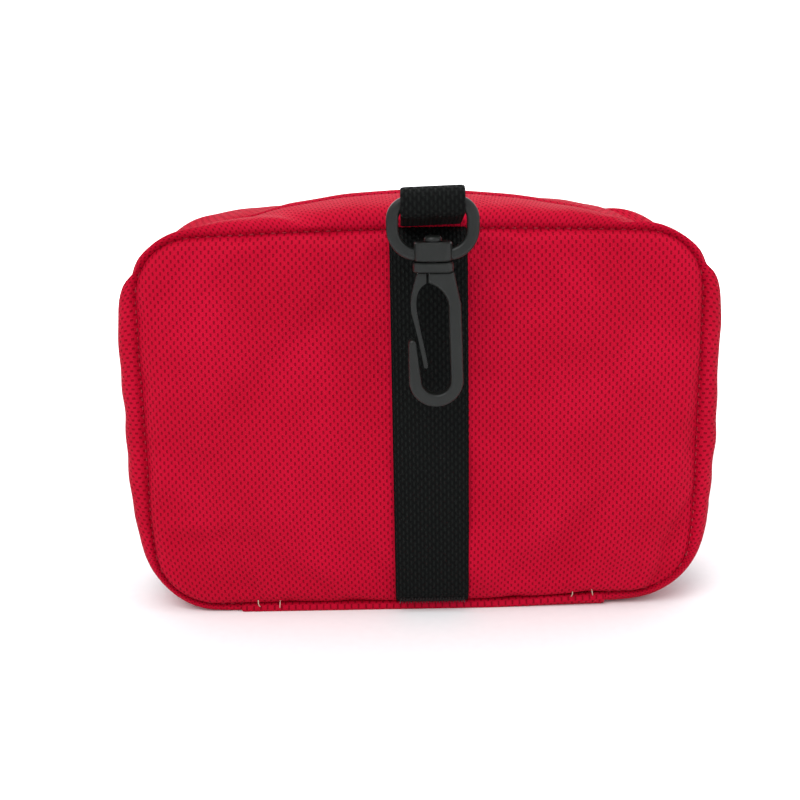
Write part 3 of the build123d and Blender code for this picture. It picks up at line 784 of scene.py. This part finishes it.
# ---- straps -----------------------------------------------------------------------------------
def strap_path():
    """(y, z) points of the belt strap, which lies just off the swollen panel."""
    top, bottom = SEAM[1] + 0.6, 1.9
    path = [(BACK_Y + 0.9, top)]
    steps = 90
    for i in range(steps + 1):
        z = top - 0.4 - (top - bottom - 0.8) * i / steps
        gap = max(0.0, min(top - z, z - bottom))
        swell = 3.9 * (1 - math.exp(-gap / 1.5)) + 3.4 * (1 - math.exp(-gap / 26)) - 1.3
        path.append((BACK_Y - swell - 0.4 - 1.9 * smooth(gap / 7), z))
    return path + [(BACK_Y + 0.9, bottom)]


def belt_strap():
    rows, uvs = ribbon(strap_path(), STRAP_W, STRAP_X, bow=0.25, steps=12)
    mesh = grid(rows, uvs, flip=True)
    finish_piece(mesh, "belt_strap_webbing", WEBBING, "tray", 1, 1.3, ("belt_strap",))


def loop_path():
    """Round the ring's bar: up one leg, over the bar, back down the other."""
    bar, root = Vector(BAR), Vector(LOOP_ROOT)
    toward = (root - bar).normalized()
    side = Vector((-toward.y, toward.x))
    radius, half = 4.75, 1.15
    swing = math.acos((radius - half) / (root - bar).length)
    start = math.atan2(toward.y, toward.x)
    path = [root + toward * 1.4 - side * half * 0.6, root - side * half]
    steps = 28
    for i in range(steps + 1):
        turn = start - swing - (2 * math.pi - 2 * swing) * i / steps
        path.append(bar + Vector((math.cos(turn), math.sin(turn))) * radius)
    path += [root + side * half, root + toward * 1.4 + side * half * 0.6]
    return [tuple(p) for p in path]


def hook_loop():
    path = loop_path()
    rows, uvs = ribbon(path, LOOP_W, LOOP_X, steps=10)
    skew = 0.55
    rows = [[(x, y, z + skew * (x - LOOP_X) / LOOP_W) for x, y, z in row] for row in rows]
    mesh = grid(rows, uvs)
    finish_piece(mesh, "hook_loop_webbing", WEBBING, "loop", 1, 1.2, ("hook_loop",))


def bar_tack(name, x, z, width, y):
    """Dense zigzag of thread that holds a strap end."""
    points = []
    steps = 46
    for i in range(steps + 1):
        points.append((x - width / 2 + width * i / steps, y, z + (0.9 if i % 2 else -0.9)))
    finish_piece(tube(points, 0.2, 5), name, BINDING_THREAD, "tray")


def thread_end(name, x, z, lean):
    """Loose end of the pale seam thread, lying over the bottom roll."""
    points = []
    for i in range(9):
        t = i / 8
        rise = 1.6 * math.sin(math.pi * min(1.0, t * 1.2))
        points.append((x + lean * t * t, BACK_Y - 0.9 - rise, z - 4.2 * t))
    finish_piece(tube(points, 0.17, 5), name, PALE_THREAD, "tray")


BINDING_THREAD = solid_weave("black_thread", rgb(0.006, 0.006, 0.006), rgb(0.02, 0.02, 0.02), 0.35)
belt_strap()
hook_loop()
bar_tack("strap_tack_low", STRAP_X, 4.6, STRAP_W - 3, BACK_Y - 4.6)
THREAD_ENDS = ((-56.5, 5.2, 0.8), (-49.0, 4.6, -0.5), (51.0, 7.0, -0.4), (57.5, 7.4, 0.9))  # x, z, lean
for number, (x, z, lean) in enumerate(THREAD_ENDS):
    thread_end(f"thread_end_{number}", x, z, lean)


# ---- carried-over nodes -----------------------------------------------------------------------
def paint(material, *nodes):
    for node in nodes:
        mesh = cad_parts[node].data
        mesh.materials.clear()
        mesh.materials.append(material)


RIB_DARK, RIB_LIGHT = rgb(0.006, 0.006, 0.007), rgb(0.035, 0.035, 0.038)
ELASTIC_SOLID = solid_weave("elastic_rib", RIB_DARK, RIB_LIGHT, 1.3, bump=0.0003)
RED_SOLID = solid_weave("red_tab_cloth", rgb(0.2, 0.0015, 0.008), rgb(0.5, 0.005, 0.024), 1.3, 0.65)
paint(BLACK_PLASTIC, "swivel_ring", "snap_hook", "hook_gate")
paint(BLACK_METAL, "zip_slider", "zip_pull")
paint(STEEL, "scissors_blade_fixed", "scissors_blade_moving", "scissors_rivet")
paint(STEEL, "tweezers_arm_fixed", "tweezers_arm_moving")
paint(GRIP, "scissors_grip_fixed", "scissors_grip_moving")
paint(ELASTIC_SOLID, "scissors_keepers", "tweezers_keeper", "tray_elastic_band")
paint(CARD, "tape_core")
paint(RED_SOLID, "zip_end_tabs")


# ---- contents ---------------------------------------------------------------------------------
def packet(name, box, material, body, node, seal):
    """A sealed packet: puffed middle and a flat, crimped border. box is ((x), (y), (z)) in mm."""
    (x0, x1), (y0, y1), (z0, z1) = box
    middle, half = (y0 + y1) / 2, (y1 - y0) / 2
    wide, tall = 22, 22
    rows, uvs = [], []
    for side in (-1, 1):
        for i in range(tall + 1) if side < 0 else range(tall, -1, -1):
            z = z0 + (z1 - z0) * i / tall
            row = []
            for j in range(wide + 1):
                x = x0 + (x1 - x0) * j / wide
                edge = min(x - x0, x1 - x, z - z0, z1 - z)
                puff = smooth((edge - seal * 0.5) / (seal * 2.2))
                crimp = 0.12 * math.sin(z * 3.3) * (1 - puff)
                thick = (0.22 + (half - 0.35) * puff) * min(1.0, edge / 0.8)
                crinkle = 0.15 * undulation(x * 3, z * 3, 1.0) * puff
                row.append((x, middle + side * thick + crimp + crinkle, z))
            rows.append(row)
            uvs.append([(p[0], p[2]) for p in row])
    mesh = grid(rows, uvs)
    cloth = bmesh.new()
    cloth.from_mesh(mesh)
    bmesh.ops.remove_doubles(cloth, verts=cloth.verts, dist=0.05 * MM)
    cloth.to_mesh(mesh)
    cloth.free()
    return finish_piece(mesh, name, material, body, nodes=(node,))


def packets(node, count, material, body, seal):
    """Equal packets that share a node's box, one behind the other."""
    low, high = [c * 1000 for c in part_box(node)[0]], [c * 1000 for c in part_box(node)[1]]
    depth = (high[1] - low[1]) / count
    for i in range(count):
        y = (low[1] + depth * i + 0.05, low[1] + depth * (i + 1) - 0.05)
        shift = 1.2 * math.sin(2.3 * i)
        box = ((low[0] + 1.2 + shift, high[0] - 1.2 + shift), y, (low[2], high[2] - 1.5 * (i % 2)))
        packet(f"{node}_{i}", box, material, body, node, seal=seal)


def rolled(node, material, body, axis, turns, wavy):
    """A bandage or tape roll: outer skin with a spiral of layers on both ends."""
    low, high = [c * 1000 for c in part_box(node)[0]], [c * 1000 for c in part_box(node)[1]]
    centre = [(a + b) / 2 for a, b in zip(low, high)]
    across = [k for k in range(3) if k != axis]
    outer = (high[across[0]] - low[across[0]]) / 2 - 0.2
    inner = 1.2 if node != "tape_roll" else 12.6
    ends = (low[axis], high[axis])
    steps = 40 * turns
    path = []
    for i in range(steps + 1):
        angle = 2 * math.pi * i / 40
        radius = inner + (outer - inner) * i / steps + wavy * math.sin(3 * angle + i * 0.07)
        path.append((min(radius, outer) * math.cos(angle), min(radius, outer) * math.sin(angle)))
    run = lengths(path)
    rows, uvs = [], []
    for share in (0.0, 0.04, 0.5, 0.96, 1.0):
        place = ends[0] + (ends[1] - ends[0]) * share
        row = []
        for a, b in path:
            point = [0.0, 0.0, 0.0]
            point[axis] = place
            point[across[0]] = centre[across[0]] + a
            point[across[1]] = centre[across[1]] + b
            row.append(tuple(point))
        rows.append(row)
        uvs.append([(length, place) for length in run])
    thickness = (outer - inner) / turns * 0.8
    return finish_piece(grid(rows, uvs), f"{node}_layers", material, body, 0, thickness, (node,))


def net(name, corners, node, body, cell=2.6):
    """Open mesh of yarns between four corners given counterclockwise, as real geometry."""
    a, b, c, d = [Vector(p) for p in corners]
    wide = max(2, round((b - a).length / cell))
    tall = max(2, round((d - a).length / cell))
    rows, uvs = [], []
    for i in range(tall + 1):
        left, right = a.lerp(d, i / tall), b.lerp(c, i / tall)
        stagger = 0.5 if i % 2 else 0.0
        spots = [min(1.0, max(0.0, (j + stagger) / wide)) for j in range(wide + 1)]
        rows.append([tuple(left.lerp(right, t)) for t in spots])
        uvs.append([(t, i) for t in spots])
    mesh = grid(rows, uvs)
    cloth = bmesh.new()
    cloth.from_mesh(mesh)
    bmesh.ops.dissolve_degenerate(cloth, dist=0.01 * MM, edges=cloth.edges)
    cloth.to_mesh(mesh)
    cloth.free()
    piece = finish_piece(mesh, name, NET, body, nodes=(node,))
    wires = piece.modifiers.new("yarns", "WIREFRAME")
    wires.thickness = 0.45 * MM
    return piece


def hem(name, points, body):
    """Rolled elastic edge of a pocket."""
    finish_piece(tube(points, 0.9, 8), name, ELASTIC_SOLID, body)


def pockets():
    """Both net pockets: a front, a slanted foot that follows the round corners, sides and a hem."""
    x, back_x, y, top = 91.0, 87.5, -0.8, 58.0
    foot, low = 15.0, 5.0
    corners = ((-84, y, foot), (84, y, foot), (x, y, top), (-x, y, top))
    net("tray_net_front", corners, "tray_pocket_net", "tray")
    corners = ((-70, y, low), (70, y, low), (84, y, foot), (-84, y, foot))
    net("tray_net_foot", corners, "tray_pocket_net", "tray")
    for side, name in ((-1, "left"), (1, "right")):
        points = ((85, -26.0, 24), (88, y, 24), (x, y, top), (back_x, -26.0, top))
        corners = tuple((side * across, depth, height) for across, depth, height in points)
        net(f"tray_net_{name}", corners, "tray_pocket_net", "tray")
    edge = [(-back_x, -26.0, top), (-x, y - 0.4, top), (0, y + 0.1, top)]
    edge += [(x, y - 0.4, top), (back_x, -26.0, top)]
    hem("tray_net_hem", edge, "tray")
    left, right, front, top = 19.2, 93.0, 4.2, 92.0
    corners = ((left, front, foot), (84, front, foot), (right, front, top), (left, front, top))
    net("cover_net_front", corners, "cover_pocket_net", "cover")
    corners = ((left, front, low), (70, front, low), (84, front, foot), (left, front, foot))
    net("cover_net_foot", corners, "cover_pocket_net", "cover")
    corners = ((left, 20.8, low), (left, front, low), (left, front, top), (left, 20.8, top))
    net("cover_net_side", corners, "cover_pocket_net", "cover")
    edge = [(left, 20.8, top), (left, front + 0.3, top), (right, front + 0.3, top), (87.5, 20.3, top)]
    hem("cover_net_hem", edge, "cover")


rolled("bandage_wide", GAUZE, "tray", 0, 9, 0.12)
rolled("bandage_narrow", GAUZE, "tray", 0, 9, 0.1)
rolled("tape_roll", TAPE, "tray", 1, 8, 0.0)
packets("triangular_bandage", 1, PAPER, "tray", 5.0)
packets("gauze_packets", 4, PAPER, "tray", 4.0)
packets("plaster_strips", 8, PLASTER, "cover", 2.4)
packets("wipe_sachets", 5, FOIL, "cover", 4.0)
packets("gloves_packet", 1, FILM, "cover", 4.0)
packets("leaflet", 1, PAPER, "cover", 1.0)
pockets()


# ---- camera, light, floor ---------------------------------------------------------------------
def studio():
    target = Vector((-6.8, -34.4, 75.4)) * MM
    tilt = math.radians(14.0)
    back = Vector((0, -math.cos(tilt), math.sin(tilt)))
    camera = bpy.data.objects.new("camera", bpy.data.cameras.new("camera"))
    bpy.context.collection.objects.link(camera)
    camera.data.sensor_width = 36
    camera.data.lens = 52.8
    camera.data.clip_start = 0.01
    camera.location = target + back * 0.38
    roll = Matrix.Rotation(math.radians(1.0), 4, -back)
    aim = (-back).to_track_quat("-Z", "Y").to_matrix().to_4x4()
    camera.matrix_world = Matrix.Translation(camera.location) @ roll @ aim
    bpy.context.scene.camera = camera
    for name, place, aim, size, power in (
        ("key", (-0.35, -0.7, 0.95), (0, 0, 0.06), 0.7, 6.5),
        ("fill", (0.8, -0.6, 0.45), (0, 0, 0.06), 0.8, 1.5),
        ("top", (0.1, 0.15, 1.1), (0, 0, 0.06), 0.9, 5.0),
        ("backdrop", (0, 0.5, 1.2), (0, 2.2, 0.9), 1.6, 45.0),
    ):
        light = bpy.data.objects.new(name, bpy.data.lights.new(name, "AREA"))
        light.data.size = size
        light.data.energy = power
        light.location = place
        light.rotation_euler = (Vector(aim) - light.location).to_track_quat("-Z", "Y").to_euler()
        bpy.context.collection.objects.link(light)
    world = bpy.data.worlds.new("studio")
    bpy.context.scene.world = world
    world.use_nodes = True
    world.node_tree.nodes["Background"].inputs["Color"].default_value = rgb(0.95, 0.96, 1.0)
    world.node_tree.nodes["Background"].inputs["Strength"].default_value = 0.85
    bpy.context.scene.view_settings.view_transform = "Standard"
    reach = 3.0
    sweep = [(-reach, 0.0), (1.2, 0.0)]
    sweep += [(1.2 + math.sin(a), 1.0 - math.cos(a)) for a in [math.pi / 2 * i / 12 for i in range(1, 13)]]
    sweep.append((2.2, 3.0))
    points = [(x, y, z) for y, z in sweep for x in (-reach, reach)]
    plane = bpy.data.meshes.new("floor")
    plane.from_pydata(points, [], [(2 * i, 2 * i + 1, 2 * i + 3, 2 * i + 2) for i in range(len(sweep) - 1)])
    for face in plane.polygons:
        face.use_smooth = True
    floor = bpy.data.objects.new("floor", plane)
    bpy.context.collection.objects.link(floor)
    pale = Nodes("pale_floor", 0.8)
    speck = pale.noise(300.0, 4.0)
    pale.colour(pale.mix(speck, rgb(0.9, 0.9, 0.9), rgb(0.95, 0.95, 0.95)))
    plane.materials.append(pale.material)


studio()
